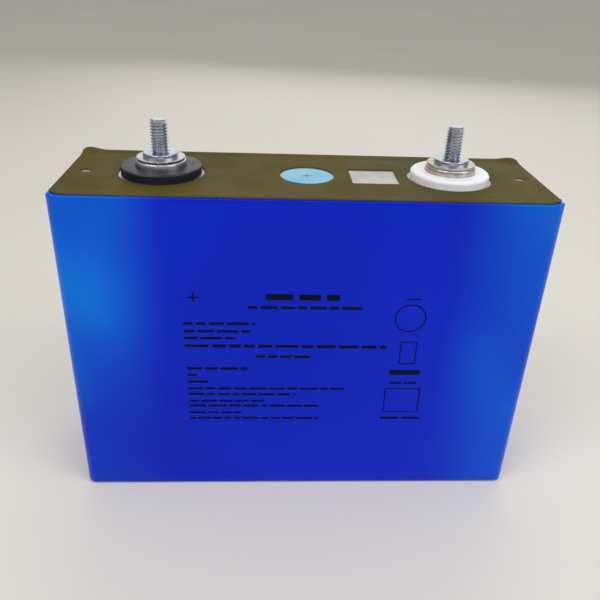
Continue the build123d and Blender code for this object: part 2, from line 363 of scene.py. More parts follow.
@dataclass(frozen=True)
class Finish:
    """What every finish has: a name, a colour, how it varies, and how rough and uneven it is."""

    name: str
    colour: str
    second_colour: str
    roughness: float
    metallic: float = 0.0
    ior: float = 1.5
    specular: float = 0.5
    patch_mm: float = 20.0  # size of the patches in which the colour drifts
    grain_mm: float = 0.6  # size of the surface's texture
    grain_height_mm: float = 0.004
    roughness_spread: float = 0.05

    def build(self) -> bpy.types.Material:
        """Makes the material: the colour drifts in patches, and the grain gives bump and roughness."""
        material = bpy.data.materials.new(self.name)
        material.use_nodes = True
        tree = material.node_tree
        tree.nodes.clear()
        place = add_node(tree, "TexCoord").outputs["Object"]
        shader = add_node(
            tree,
            "BsdfPrincipled",
            {
                "Base Color": self.colour_output(tree, place),
                "Roughness": self.roughness_output(tree, place),
                "Metallic": self.metallic,
                "IOR": self.ior,
                "Specular IOR Level": self.specular,
                "Normal": self.normal_output(tree, place),
            },
        )
        self.tune(tree, shader)
        add_node(tree, "OutputMaterial", {"Surface": shader.outputs["BSDF"]})
        material.diffuse_color = linear(self.colour)
        return material

    def colour_output(self, tree: Tree, place: Socket) -> Socket:
        """Drifts between the two colours in soft patches."""
        patches = add_node(tree, "TexNoise", {"Vector": place, "Scale": per_mm(self.patch_mm)}).outputs["Fac"]
        drift = add_node(tree, "MapRange", span(patches, 0.3, 0.7, 0.0, 1.0), **SMOOTH).outputs["Result"]
        colours = {0: drift, 6: linear(self.colour), 7: linear(self.second_colour)}
        return add_node(tree, "Mix", colours, data_type="RGBA").outputs[2]

    def roughness_output(self, tree: Tree, place: Socket) -> Socket:
        """Spreads the roughness a little about its value."""
        scale = per_mm(self.patch_mm / 3)
        patches = add_node(tree, "TexNoise", {"Vector": place, "Scale": scale}).outputs["Fac"]
        low, high = self.roughness - self.roughness_spread, self.roughness + self.roughness_spread
        inputs = span(patches, 0.3, 0.7, max(low, 0.02), high)
        return add_node(tree, "MapRange", inputs, **SMOOTH).outputs["Result"]

    def normal_output(self, tree: Tree, place: Socket) -> Socket:
        """Gives the fine bump of the surface's grain."""
        grain = {"Vector": place, "Scale": per_mm(self.grain_mm), "Detail": 3.0}
        height = add_node(tree, "TexNoise", grain).outputs["Fac"]
        bump = add_node(tree, "Bump", {"Height": height, "Strength": 1.0, "Distance": self.grain_height_mm * MM})
        return bump.outputs["Normal"]

    def tune(self, tree: Tree, shader: bpy.types.Node) -> None:
        """Sets what a kind of finish has besides, which here is nothing."""


@dataclass(frozen=True)
class ShrinkFilm(Finish):
    """Coloured PET film shrunk on the case: glossy and a little wavy, with pale reflection patches painted into
    its colour near its ends.
    """

    # Pale blue painted into the film near its ends: a painted reflection, not the film's own colour
    painted_reflection_colour: str = "#0082ea"
    sheen_colour: str = "#7fb2ff"
    reflection_from_mm: float = 44.0  # from the cell's middle to where the painted reflection starts
    reflection_to_mm: float = 80.0  # and to where the painted reflection is strongest
    reflection_foot_mm: float = 15.0  # height below which the painted reflection is weakest
    reflection_top_mm: float = 112.0  # height above which the painted reflection is strongest
    blotch_mm: float = 60.0
    wave_mm: float = 26.0
    wave_height_mm: float = 0.05

    def colour_output(self, tree: Tree, place: Socket) -> Socket:
        """Paints pale reflection patches into the film's colour near the case's ends, most towards the top."""
        base = super().colour_output(tree, place)
        across = add_node(tree, "SeparateXYZ", {"Vector": place})
        end = add_node(tree, "Math", {0: across.outputs["X"]}, operation="ABSOLUTE").outputs[0]
        reach = span(end, self.reflection_from_mm * MM, self.reflection_to_mm * MM, 0.0, 1.0)
        near_end = add_node(tree, "MapRange", reach, **SMOOTH).outputs["Result"]
        spots = {"Vector": place, "Scale": per_mm(self.blotch_mm), "Detail": 1.0}
        blotches = add_node(tree, "TexNoise", spots).outputs["Fac"]
        blotch = add_node(tree, "MapRange", span(blotches, 0.35, 0.65, 0.3, 1.0), **SMOOTH).outputs["Result"]
        rise = span(across.outputs["Z"], self.reflection_foot_mm * MM, self.reflection_top_mm * MM, 0.3, 1.25)
        height = add_node(tree, "MapRange", rise, **SMOOTH).outputs["Result"]
        patches = add_node(tree, "Math", {0: near_end, 1: blotch}, operation="MULTIPLY").outputs[0]
        amount = add_node(tree, "Math", {0: patches, 1: height}, operation="MULTIPLY", use_clamp=True).outputs[0]
        # Mix the painted reflection's pale blue into the film's colour
        colours = {0: amount, 6: base, 7: linear(self.painted_reflection_colour)}
        return add_node(tree, "Mix", colours, data_type="RGBA").outputs[2]

    def tune(self, tree: Tree, shader: bpy.types.Node) -> None:
        """Tints what the film mirrors, as light that has been through the dyed layer is tinted."""
        shader.inputs["Specular Tint"].default_value = linear(self.sheen_colour)

    def normal_output(self, tree: Tree, place: Socket) -> Socket:
        """Adds the film's slow waves to its fine orange peel."""
        fine = super().normal_output(tree, place)
        slow = {"Vector": place, "Scale": per_mm(self.wave_mm), "Detail": 1.0}
        waves = add_node(tree, "TexNoise", slow).outputs["Fac"]
        relief = {"Height": waves, "Strength": 1.0, "Distance": self.wave_height_mm * MM, "Normal": fine}
        return add_node(tree, "Bump", relief).outputs["Normal"]


@dataclass(frozen=True)
class TurnedMetal(Finish):
    """Metal with fine rings left by the lathe or the press."""

    axis_x_mm: float = 0.0
    ring_mm: float = 0.5
    ring_height_mm: float = 0.006

    def normal_output(self, tree: Tree, place: Socket) -> Socket:
        """Adds rings about the upright axis to the grain."""
        fine = super().normal_output(tree, place)
        centred = add_node(tree, "Mapping", {"Vector": place, "Location": (-self.axis_x_mm * MM, 0, 0)})
        turned = {"Vector": centred.outputs["Vector"], "Scale": per_mm(self.ring_mm) / 20, "Distortion": 1.5}
        rings = add_node(tree, "TexWave", turned, wave_type="RINGS", rings_direction="Z").outputs["Fac"]
        relief = {"Height": rings, "Strength": 1.0, "Distance": self.ring_height_mm * MM, "Normal": fine}
        return add_node(tree, "Bump", relief).outputs["Normal"]


@dataclass(frozen=True)
class RolledMetal(Finish):
    """Rolled sheet or foil: fine lines along X from the rolling mill."""

    line_mm: float = 0.25

    def normal_output(self, tree: Tree, place: Socket) -> Socket:
        """Stretches the grain along the rolling direction."""
        stretched = add_node(tree, "Mapping", {"Vector": place, "Scale": (0.03, 1.0, 1.0)}).outputs["Vector"]
        lines = add_node(tree, "TexNoise", {"Vector": stretched, "Scale": per_mm(self.line_mm)}).outputs["Fac"]
        bump = add_node(tree, "Bump", {"Height": lines, "Strength": 1.0, "Distance": self.grain_height_mm * MM})
        return bump.outputs["Normal"]


@dataclass(frozen=True)
class HeatTintedMetal(TurnedMetal):
    """Weld-heated metal, straw coloured on the side where the weld was slow."""

    tint: str = "#b99a55"
    spot_mm: float = 2.5  # size of the tint's ragged spots

    def colour_output(self, tree: Tree, place: Socket) -> Socket:
        """Lays the straw tint over the side towards the vent, in a ragged patch."""
        base = super().colour_output(tree, place)
        side = add_node(tree, "SeparateXYZ", {"Vector": place}).outputs["X"]
        reach = span(side, (self.axis_x_mm - 8) * MM, (self.axis_x_mm - 1) * MM, 0.5, 0.0)
        left = add_node(tree, "MapRange", reach, **SMOOTH).outputs["Result"]
        spots = add_node(tree, "TexNoise", {"Vector": place, "Scale": per_mm(self.spot_mm)}).outputs["Fac"]
        ragged = add_node(tree, "MapRange", span(spots, 0.35, 0.65, 0.2, 1.0), **SMOOTH).outputs["Result"]
        amount = add_node(tree, "Math", {0: left, 1: ragged}, operation="MULTIPLY").outputs[0]
        colours = {0: amount, 6: base, 7: linear(self.tint)}
        return add_node(tree, "Mix", colours, data_type="RGBA").outputs[2]


@dataclass
class Finishes:
    """Every material of the cell, made once."""

    film: bpy.types.Material = field(init=False)
    sheet: bpy.types.Material = field(init=False)
    black_disc: bpy.types.Material = field(init=False)
    white_disc: bpy.types.Material = field(init=False)
    positive_pad: bpy.types.Material = field(init=False)
    negative_pad: bpy.types.Material = field(init=False)
    painted_weld_shadow: bpy.types.Material = field(init=False)
    seam: bpy.types.Material = field(init=False)
    stud: bpy.types.Material = field(init=False)
    lid: bpy.types.Material = field(init=False)
    vent_film: bpy.types.Material = field(init=False)
    vent_mark: bpy.types.Material = field(init=False)
    ink: bpy.types.Material = field(init=False)
    inside: dict[str, bpy.types.Material] = field(init=False)

    def __post_init__(self) -> None:
        """Makes the materials, each from what the real surface is."""
        # PET shrink film, dyed blue and glossy: a deep colour under a soft sheen, in slow waves, with painted
        # pale reflection patches near its ends
        self.film = ShrinkFilm(
            "blue PET shrink film", "#0015c0", "#001ccc", 0.15, patch_mm=70, grain_mm=1.2, grain_height_mm=0.0015
        ).build()
        # Polycarbonate sheet, die cut, fine matt side up: black with a warm cast and a broad soft glare
        self.sheet = Finish(
            "black polycarbonate sheet", "#4a420f", "#544b13", 0.55, specular=0.08, patch_mm=30, grain_mm=0.35,
            grain_height_mm=0.006,
        ).build()
        # Polypropylene, injection moulded: black disc, satin with a faint mould texture
        self.black_disc = Finish(
            "black moulded polypropylene", "#080e20", "#0b132a", 0.4, ior=1.49, patch_mm=8, grain_mm=0.4
        ).build()
        # The same polypropylene, white: satin, its tone drifting a little cooler in soft patches
        self.white_disc = Finish(
            "white moulded polypropylene", "#f4f5fb", "#ecedf6", 0.4, ior=1.49, patch_mm=8, grain_mm=0.4
        ).build()
        # Aluminium, turned and welded: pale grey with lathe rings and a rough skin
        self.positive_pad = TurnedMetal(
            "turned aluminium pad", "#cdccd2", "#b9b8c0", 0.28, metallic=1.0, patch_mm=3, grain_mm=0.5,
            grain_height_mm=0.02, axis_x_mm=self.axis_of("positive_stud"),
        ).build()
        # The same aluminium after a slower weld: rougher, and straw coloured on one side
        self.negative_pad = HeatTintedMetal(
            "heat tinted aluminium pad", "#cfceca", "#b4b3ae", 0.32, metallic=1.0, patch_mm=2, grain_mm=0.6,
            grain_height_mm=0.03, axis_x_mm=self.axis_of("negative_stud"),
        ).build()
        # Pulsed laser weld: remelted metal, dull, its dark colour painted shadow standing for the shaded groove
        # at the plate's foot
        self.painted_weld_shadow = Finish(
            "weld seam painted with shadow", "#2a2824", "#57534a", 0.55, metallic=0.7, patch_mm=1.2, grain_mm=0.4,
            grain_height_mm=0.05,
        ).build()
        # The weld's own colour, with no painted shadow: bare metal, bright in spots
        self.seam = Finish(
            "bright weld seam", "#b9b7b0", "#8e8b84", 0.4, metallic=1.0, patch_mm=1.2, grain_mm=0.4,
            grain_height_mm=0.05,
        ).build()
        # Stainless steel studs, rolled thread: bright, with a faint cool cast
        self.stud = Finish(
            "rolled stainless steel thread", "#c3c6d2", "#afb3c2", 0.17, metallic=1.0, patch_mm=3, grain_mm=0.5,
            grain_height_mm=0.002,
        ).build()
        # Aluminium lid, rolled sheet, brushed clean: soft streaks along its length
        self.lid = RolledMetal(
            "rolled aluminium lid", "#cfccc8", "#bebbb9", 0.5, metallic=1.0, patch_mm=9, grain_height_mm=0.004
        ).build()
        # Pale blue PET film over the vent: thin, glossy, its tone drifting where it lies close to the metal
        self.vent_film = Finish(
            "pale blue PET film", "#4aa6dc", "#79bdd0", 0.2, specular=0.3, patch_mm=9, grain_mm=2.0,
            grain_height_mm=0.01,
        ).build()
        # Mark pressed in that film: a dark teal cross, duller than the film
        self.vent_mark = Finish(
            "pressed centre mark", "#0d4459", "#0a3b50", 0.4, patch_mm=1, grain_mm=0.5
        ).build()
        # Printing ink on the film: near black, a touch duller than the film
        self.ink = Finish(
            "dark printing ink", "#010114", "#02021c", 0.35, specular=0.1, patch_mm=3, grain_mm=0.5,
            grain_height_mm=0.001,
        ).build()
        self.inside = self.inside_finishes()

    def axis_of(self, stud: str) -> float:
        """Gives the X of a stud's axis in millimetres, about which its pad was turned."""
        low, high = node_box(stud)
        return (low.x + high.x) / 2

    def inside_finishes(self) -> dict[str, bpy.types.Material]:
        """Makes the materials of what the case holds, unseen unless it is opened, by their slot."""
        return {
            # Copper foil and strip, rolled: warm, with fine lines along its length
            "copper": RolledMetal(
                "rolled copper", "#b9744f", "#a8643f", 0.3, metallic=1.0, patch_mm=6
            ).build(),
            # Aluminium foil, rolled: bright, with the same fine lines
            "foil_aluminium": RolledMetal(
                "rolled aluminium foil", "#d6d6d4", "#c8c8c6", 0.28, metallic=1.0, patch_mm=6
            ).build(),
            # Undyed polypropylene, injection moulded: milky and matt
            "natural_plastic": Finish(
                "natural moulded polypropylene", "#dcd9cc", "#d2cfc1", 0.5, ior=1.49
            ).build(),
            # Fluoro rubber, moulded: black, with no shine
            "seal_rubber": Finish("moulded fluoro rubber", "#1a1a1a", "#222120", 0.75).build(),
            # Powder coating on foil, rolled flat: dark grey and dead matt
            "electrode": Finish(
                "calendered electrode coating", "#232325", "#2b2b2e", 0.85, grain_mm=0.3
            ).build(),
            # Polyethylene film, drawn until it is porous: white and silky
            "separator": Finish("drawn polyethylene separator", "#eeeeee", "#e4e4e6", 0.6).build(),
            # PET tape, dyed green: smooth and glossy
            "green_tape": Finish("green PET tape", "#2f8a55", "#277a4a", 0.25).build(),
            # PET film, tinted blue: smooth and glossy
            "bag_film": Finish("blue tinted PET bag", "#3d78b8", "#346ba8", 0.25).build(),
        }


# ------------------------------------------------------------------------------------------------
# Sub-assemblies
# ------------------------------------------------------------------------------------------------


@dataclass
class FilmSleeve:
    """The blue film that wraps the case and folds in over the lid and under the base."""

    finishes: Finishes
    corner_radius: float = 3.2
    top_edge: float = 0.8
    bottom_edge: float = 1.0
    top_lip: float = 3.5
    bottom_lip: float = 5.0
    thickness: float = 0.2
    least_draw: float = 0.03  # the film always stands this far inside the cell's full size
    wave_height: float = 0.06
    pleat_reach: float = 6.0  # how far from a corner the film is pleated
    pleat_height: float = 0.08
    corner_lift: float = 0.55  # how far the bunched film stands up at the top corners
    lip_row: float = 2.2  # inset of a row of points halfway along the top lip
    low: Vector = field(init=False)
    high: Vector = field(init=False)
    width: float = field(init=False)
    depth: float = field(init=False)

    def __post_init__(self) -> None:
        """Reads the film's box."""
        self.low, self.high = node_box("sleeve")
        self.width, self.depth = self.high.x - self.low.x, self.high.y - self.low.y

    def profile(self, skin: float) -> list[Place]:
        """Gives one skin of the film's section, from the bottom lip's end to the top one's.

        Args:
            skin: How far the skin lies inside the film's outside.

        Returns:
            Points of inset from the full outline, and height.
        """
        low, high = self.low.z, self.high.z
        bottom = arc((self.bottom_edge, low + self.bottom_edge), self.bottom_edge - skin, 270, 180, 6)
        top = arc((self.top_edge, high - self.top_edge), self.top_edge - skin, 180, 90, 6)
        spans = 56
        start, end = bottom[-1][1], top[0][1]
        wall = [(skin, start + (end - start) * i / spans) for i in range(1, spans)]
        lips = [(self.lip_row, high - skin), (self.top_lip, high - skin)]
        return [(self.bottom_lip, low + skin)] + bottom + wall + top + lips

    def build(self) -> None:
        """Makes the film as one closed skin: outside up, inside down."""
        rings = [self.ring(inset, height) for inset, height in self.profile(0.0)]
        rings += [self.ring(inset, height) for inset, height in reversed(self.profile(self.thickness))]
        piece = skin_of_rings("film_sleeve", rings, capped=False, sharp=50)
        dress(piece, self.finishes.film, "blue_film", "sleeve")

    def ring(self, inset: float, height: float) -> Ring:
        """Gives one ring of the film at an inset and a height, settled on the case."""
        radius = max(self.corner_radius - inset, 0.4)
        outline = rounded_rectangle(self.width - 2 * inset, self.depth - 2 * inset, radius, 64, 20, 10)
        return [self.settled(x, y, height) for x, y in outline]

    def draw_in(self, x: float, y: float, z: float) -> float:
        """Gives how far the film lies inside the full size: slow waves, and pleats by the top corners."""
        wave = 0.5 + 0.5 * noise.noise(Vector((x / 45, y / 45, z / 38)))
        draw = self.least_draw
        draw += self.wave_height * wave * smoothstep(0, 10, self.high.z - z) * smoothstep(0, 10, z)
        pleat = 1 - smoothstep(0, self.pleat_reach, self.from_corner(x, y))
        ripple = 0.5 + 0.5 * math.sin(3.1 * (x + y) + 1.7 * z)
        return draw + self.pleat_height * pleat * ripple * (1 - smoothstep(0, 7, self.high.z - z))

    def from_corner(self, x: float, y: float) -> float:
        """Gives the distance from a place to the nearest upright corner of the full size."""
        return math.hypot(self.width / 2 - abs(x), self.depth / 2 - abs(y))

    def settled(self, x: float, y: float, z: float) -> Point:
        """Draws a point of the film in towards the middle, and up at the top corners."""
        draw = self.draw_in(x, y, z)
        near = 1 - smoothstep(0, self.pleat_reach, self.from_corner(x, y))
        lift = self.corner_lift * near**1.5 * (1 - smoothstep(0, 5, self.high.z - z))
        length = math.hypot(x / self.width, y / self.depth) or 1.0
        return (x - draw * x / self.width / length, y - draw * y / self.depth / length, z + lift)


@dataclass
class PrintedPanel:
    """Plain print on the front face: polarity signs, rows of plain blocks, a ring and two empty frames.

    The blocks, ring and frames stand where a maker would print its data. They spell and show nothing.
    """

    finishes: Finishes
    sleeve: FilmSleeve
    seed: int = 7
    proud: float = 0.025  # how far the ink stands off the film
    sunk: float = 0.05  # how far it reaches into the film
    chunk: float = 3.0  # long bars are cut up this finely to follow the film
    line: float = 0.45  # width of the frames' lines
    plus_place: Place = (-37.15, 80.9)  # X and height of the plus sign's middle
    points: list[Point] = field(default_factory=list)
    faces: list[list[int]] = field(default_factory=list)
    rows: tuple[tuple[float, float, float, float], ...] = (
        # left end, right end, middle and height of each row of blocks
        (-13.5, 10.9, 81.3, 2.2),
        (-19.3, 18.6, 77.4, 1.1),
        (-40.7, -16.9, 71.1, 1.1),
        (-40.7, -18.6, 68.1, 1.0),
        (-40.7, -23.4, 65.4, 1.0),
        (-40.7, 28.4, 62.3, 1.2),
        (-16.5, 2.1, 58.1, 1.1),
        (-40.3, -19.5, 53.1, 1.1),
        (-40.3, -36.9, 50.3, 0.9),
        (-40.3, -33.2, 47.5, 0.9),
        (-40.3, 14.7, 44.6, 0.9),
        (-40.3, -2.4, 42.1, 0.9),
        (-40.3, -13.6, 39.2, 0.9),
        (-40.3, 5.9, 37.1, 0.9),
        (-40.3, -21.8, 34.0, 0.9),
        (-40.3, 6.3, 31.5, 0.9),
        (30.7, 40.5, 47.3, 0.9),
        (28.8, 43.2, 31.7, 1.0),
    )

    def build(self) -> None:
        """Makes the whole print as one thin piece on the film."""
        draw = random.Random(self.seed)
        self.plus(self.plus_place, 1.75, 0.3)
        self.bar(33.2, 37.9, 80.85, 81.35)  # the minus sign
        for left, right, middle, height in self.rows:
            self.row(draw, left, right, middle, height)
        self.frame_lines(33.0, 38.9, 55.4, 64.6, self.line)
        self.bar(30.4, 41.2, 50.85, 52.85)
        self.frame_lines(29.4, 42.3, 34.4, 45.1, self.line)
        self.ring((35.3, 73.8), 5.4, 0.5)
        piece = mesh_object("front_print", self.points, self.faces)
        dress(piece, self.finishes.ink, "blue_film")

    def row(self, draw: random.Random, left: float, right: float, middle: float, height: float) -> None:
        """Adds one row of plain blocks, longer and shorter, with gaps between them.

        Args:
            draw: The seeded source of the blocks' lengths.
            left: Where the row starts.
            right: Where it ends.
            middle: The height of its middle.
            height: The blocks' height.
        """
        place, gap = left, 0.9 * height
        while place < right:
            end = min(place + draw.uniform(2.5, 7.5) * height, right)
            if right - end < 2 * gap:
                end = right
            self.bar(place, end, middle - height / 2, middle + height / 2)
            place = end + gap

    def frame_lines(self, left: float, right: float, low: float, high: float, line: float) -> None:
        """Adds an empty frame with the given line width."""
        corners = [(left, low), (right, low), (right, high), (left, high)]
        middle = ((left + right) / 2, (low + high) / 2)
        outer: list[Place] = []
        for i, (x, z) in enumerate(corners):
            next_x, next_z = corners[(i + 1) % 4]
            spans = math.ceil((abs(next_x - x) + abs(next_z - z)) / self.chunk)
            outer += [(x + (next_x - x) * k / spans, z + (next_z - z) * k / spans) for k in range(spans)]
        narrow, short = 1 - 2 * line / (right - left), 1 - 2 * line / (high - low)
        inner = [(middle[0] + (x - middle[0]) * narrow, middle[1] + (z - middle[1]) * short) for x, z in outer]
        self.slab([inner, outer], closed=True)

    def ring(self, centre: Place, radius: float, line: float) -> None:
        """Adds a plain ring."""
        angles = [math.tau * i / 60 for i in range(60)]
        radii = (radius - line, radius)
        rows = [[(centre[0] + r * math.cos(a), centre[1] + r * math.sin(a)) for a in angles] for r in radii]
        self.slab(rows, closed=True)

    def plus(self, centre: Place, reach: float, half: float) -> None:
        """Adds a plus sign with arms of the given reach and half width."""
        arm = [(reach, -half), (reach, half), (half, half)]
        outline: list[Place] = []
        for _ in range(4):
            outline += [(centre[0] + x, centre[1] + z) for x, z in arm]
            arm = [(-z, x) for x, z in arm]
        first, size = len(self.points), len(outline)
        self.points += [self.on_film(x, z, depth) for depth in (self.sunk, -self.proud) for x, z in outline]
        self.faces.append([first + i for i in range(size)])
        self.faces.append([first + 2 * size - 1 - i for i in range(size)])
        for i in range(size):
            a, b = first + i, first + (i + 1) % size
            self.faces.append([a, b, b + size, a + size])

    def bar(self, left: float, right: float, low: float, high: float) -> None:
        """Adds a level bar, cut up along its length to follow the film."""
        wide = math.ceil((right - left) / self.chunk)
        xs = [left + (right - left) * i / wide for i in range(wide + 1)]
        self.slab([[(x, low) for x in xs], [(x, high) for x in xs]], closed=False)

    def slab(self, rows: Sequence[Sequence[Place]], closed: bool) -> None:
        """Adds one thin closed slab of ink between two rows of places on the front face.

        Args:
            rows: The low or inner row and the high or outer row, of equal length.
            closed: True if the rows run round in a loop.
        """
        first, size = len(self.points), len(rows[0])
        sections = [(rows[0], self.sunk), (rows[1], self.sunk), (rows[1], -self.proud), (rows[0], -self.proud)]
        self.points += [self.on_film(x, z, depth) for row, depth in sections for x, z in row]
        for side in range(4):
            low, high = first + side * size, first + (side + 1) % 4 * size
            for i in range(size if closed else size - 1):
                self.faces.append([low + i, low + (i + 1) % size, high + (i + 1) % size, high + i])
        if not closed:
            self.faces += [[first + side * size + end for side in range(4)] for end in (0, size - 1)]

    def on_film(self, x: float, z: float, depth: float) -> Point:
        """Gives the point at a depth behind the film's front surface."""
        return (x, self.sleeve.settled(x, self.sleeve.low.y, z)[1] + depth, z)


@dataclass
class TopSheet:
    """The black sheet on the lid: flat in the middle, raised on the film's lip, its corners curling up."""

    finishes: Finishes
    thickness: float = 0.4
    ramp_start: float = 2.2  # from the sheet's edge inwards
    ramp_end: float = 3.6
    corner_radius: float = 3.8
    front_curl: float = 0.7
    front_reach: float = 6.5
    left_rear_curl: float = 1.3
    right_rear_curl: float = 0.85
    rear_reach: float = 9.5
    cell: float = 0.8  # spacing of the grid that the sheet is bent on
    dent: float = 0.12  # depth of a small dent near the rear edge
    dent_place: Place = (29.8, 19.0)
    dent_spread: float = 3.0  # square of the distance at which the dent has faded to about a third
    rim_rise: float = 0.2  # how far the film's lip lifts the sheet's edge
    ripple: float = 0.05  # height of the slow waves along the edge
    ripple_reach: float = 6.0
    round_clearance: float = 0.95  # from a disc to the edge of its window
    vent_clearance: float = 0.5  # from the vent's film to the edge of its window
    dimple_from_end: float = 6.75  # from the narrow faces to the middle of the small end windows
    dimple_radius: float = 2.0
    code_width: float = 15.8  # the square window
    code_depth: float = 15.5
    code_from_disc: float = 4.75
    code_corner: float = 0.3
    sliver: float = 0.01  # faces thinner than this are merged away after the cuts
    cutter_low: float = 100.0  # the cutters reach from here to well above the sheet
    cutter_high: float = 130.0

    def height(self, x: float, y: float, half_x: float, half_y: float, rim: float) -> float:
        """Gives the height of the sheet's upper side at a point.

        Args:
            x: Place along the cell.
            y: Place across it.
            half_x: Half the sheet's width.
            half_y: Half its depth.
            rim: Height of the rim in the CAD model.

        Returns:
            The height in millimetres.
        """
        edge = min(half_x - abs(x), half_y - abs(y))
        drop = self.rim_rise * smoothstep(self.ramp_start, self.ramp_end, edge)
        corner = math.hypot(half_x - abs(x), half_y - abs(y))
        rear_curl = self.left_rear_curl if x < 0 else self.right_rear_curl
        curl, reach = (rear_curl, self.rear_reach) if y > 0 else (self.front_curl, self.front_reach)
        rise = curl * (1 - smoothstep(0, reach, corner)) ** 1.5
        wave = 0.5 + 0.5 * noise.noise(Vector((x / 14, y / 9, 0.5)))
        ripple = self.ripple * wave * (1 - smoothstep(0, self.ripple_reach, edge))
        return rim - drop + rise + ripple

    def build(self) -> None:
        """Makes the bent sheet on a fine grid, then cuts its outline and windows."""
        low, high = node_box("top_sheet")
        half_x, half_y = (high.x - low.x) / 2, (high.y - low.y) / 2
        count_x, count_y = round(2 * half_x / self.cell), round(2 * half_y / self.cell)
        xs = [-half_x + 2 * half_x * i / count_x for i in range(count_x + 1)]
        ys = [-half_y + 2 * half_y * j / count_y for j in range(count_y + 1)]
        flat = [(x, y, self.height(x, y, half_x, half_y, high.z)) for y in ys for x in xs]
        upper = [(x, y, z - self.dent_depth(x, y)) for x, y, z in flat]
        lower = [(x, y, z - self.thickness) for x, y, z in flat]
        across, total = count_x + 1, len(upper)
        faces: list[list[int]] = []
        for j in range(count_y):
            for i in range(count_x):
                a = j * across + i
                b = a + across
                faces += [[a, a + 1, b + 1], [a, b + 1, b]]
                faces += [[total + b + 1, total + a + 1, total + a], [total + b, total + b + 1, total + a]]
        border = [i for i in range(across)]
        border += [j * across + count_x for j in range(1, count_y + 1)]
        border += [count_y * across + i for i in range(count_x - 1, -1, -1)]
        border += [j * across for j in range(count_y - 1, 0, -1)]
        for k, a in enumerate(border):
            b = border[(k + 1) % len(border)]
            faces += [[b, a, total + a], [b, total + a, total + b]]
        piece = mesh_object("black_top_sheet", upper + lower, faces)
        outline = rounded_rectangle(2 * half_x, 2 * half_y, self.corner_radius, 1, 1, 8)
        cut(piece, "INTERSECT", self.prism(outline))
        for centre_x, radius in self.windows():
            cut(piece, "DIFFERENCE", self.prism(arc((centre_x, 0.0), radius, 0, 360 - 360 / 96, 95)))
        cut(piece, "DIFFERENCE", self.prism(self.code_window()))
        self.clean(piece)
        dress(piece, self.finishes.sheet, "black_sheet", "top_sheet")

    def dent_depth(self, x: float, y: float) -> float:
        """Gives how deep the small dent in the sheet's upper side is at a point."""
        away = (x - self.dent_place[0]) ** 2 + (y - self.dent_place[1]) ** 2
        return self.dent * math.exp(-away / self.dent_spread)

    def clean(self, piece: bpy.types.Object) -> None:
        """Merges the slivers that the cuts leave, and splits every face into triangles."""
        cleaner = bmesh.new()
        cleaner.from_mesh(piece.data)
        bmesh.ops.remove_doubles(cleaner, verts=cleaner.verts, dist=self.sliver * MM)
        bmesh.ops.dissolve_degenerate(cleaner, edges=cleaner.edges, dist=self.sliver * MM)
        bmesh.ops.triangulate(cleaner, faces=cleaner.faces)
        cleaner.to_mesh(piece.data)
        cleaner.free()
        piece.data.set_sharp_from_angle(angle=math.radians(CRISP_ANGLE))

    def windows(self) -> list[Place]:
        """Gives the centre and radius of each round window, from what stands in it."""
        rounds: list[Place] = []
        for polarity in Polarity:
            low, high = node_box(f"{polarity.value}_outer_insulator")
            rounds.append(((low.x + high.x) / 2, (high.x - low.x) / 2 + self.round_clearance))
        rounds.append((0.0, node_box("vent_film")[1].x + self.vent_clearance))
        end = node_box("sleeve")[1].x - self.dimple_from_end
        return rounds + [(-end, self.dimple_radius), (end, self.dimple_radius)]

    def code_window(self) -> list[Place]:
        """Gives the outline of the square window beside the negative disc."""
        middle = node_box("negative_outer_insulator")[0].x - self.code_from_disc - self.code_width / 2
        outline = rounded_rectangle(self.code_width, self.code_depth, self.code_corner, 1, 1, 3)
        return [(x + middle, y) for x, y in outline]

    def prism(self, outline: Sequence[Place]) -> bpy.types.Object:
        """Makes a tall prism over an outline, to cut with."""
        rings = [[(x, y, z) for x, y in outline] for z in (self.cutter_low, self.cutter_high)]
        return skin_of_rings("cutter", rings)


@dataclass
class VentWindow:
    """The pale blue film over the vent, with a small cross pressed in its middle."""

    finishes: Finishes
    mark_length: float = 3.0
    mark_width: float = 0.34
    dome: float = 0.1  # how far the film bulges in the middle
    mark_low: float = 0.05  # foot of the cross above the film's rim
    mark_high: float = 0.13

    def build(self) -> None:
        """Makes the film, slightly domed, and the cross."""
        low, high = node_box("vent_film")
        radius = high.x
        rows = [radius * i / 12 for i in range(12, 0, -1)]
        dome = [(r, high.z + self.dome * (1 - (r / radius) ** 2)) for r in rows] + [(0.05, high.z + self.dome)]
        film = lathe("vent_cover_film", [(radius, low.z)] + dome, (0, 0), 96)
        dress(film, self.finishes.vent_film, "pale_blue_film", "vent_film")
        length, width = self.mark_length / 2, self.mark_width / 2
        arm = [(length, -width), (length, width), (width, width)]
        outline: list[Place] = []
        for _ in range(4):
            outline += arm
            arm = [(-y, x) for x, y in arm]
        rings = [[(x, y, z) for x, y in outline] for z in (high.z + self.mark_low, high.z + self.mark_high)]
        mark = skin_of_rings("vent_centre_mark", rings)
        dress(mark, self.finishes.vent_mark, "pale_blue_film")


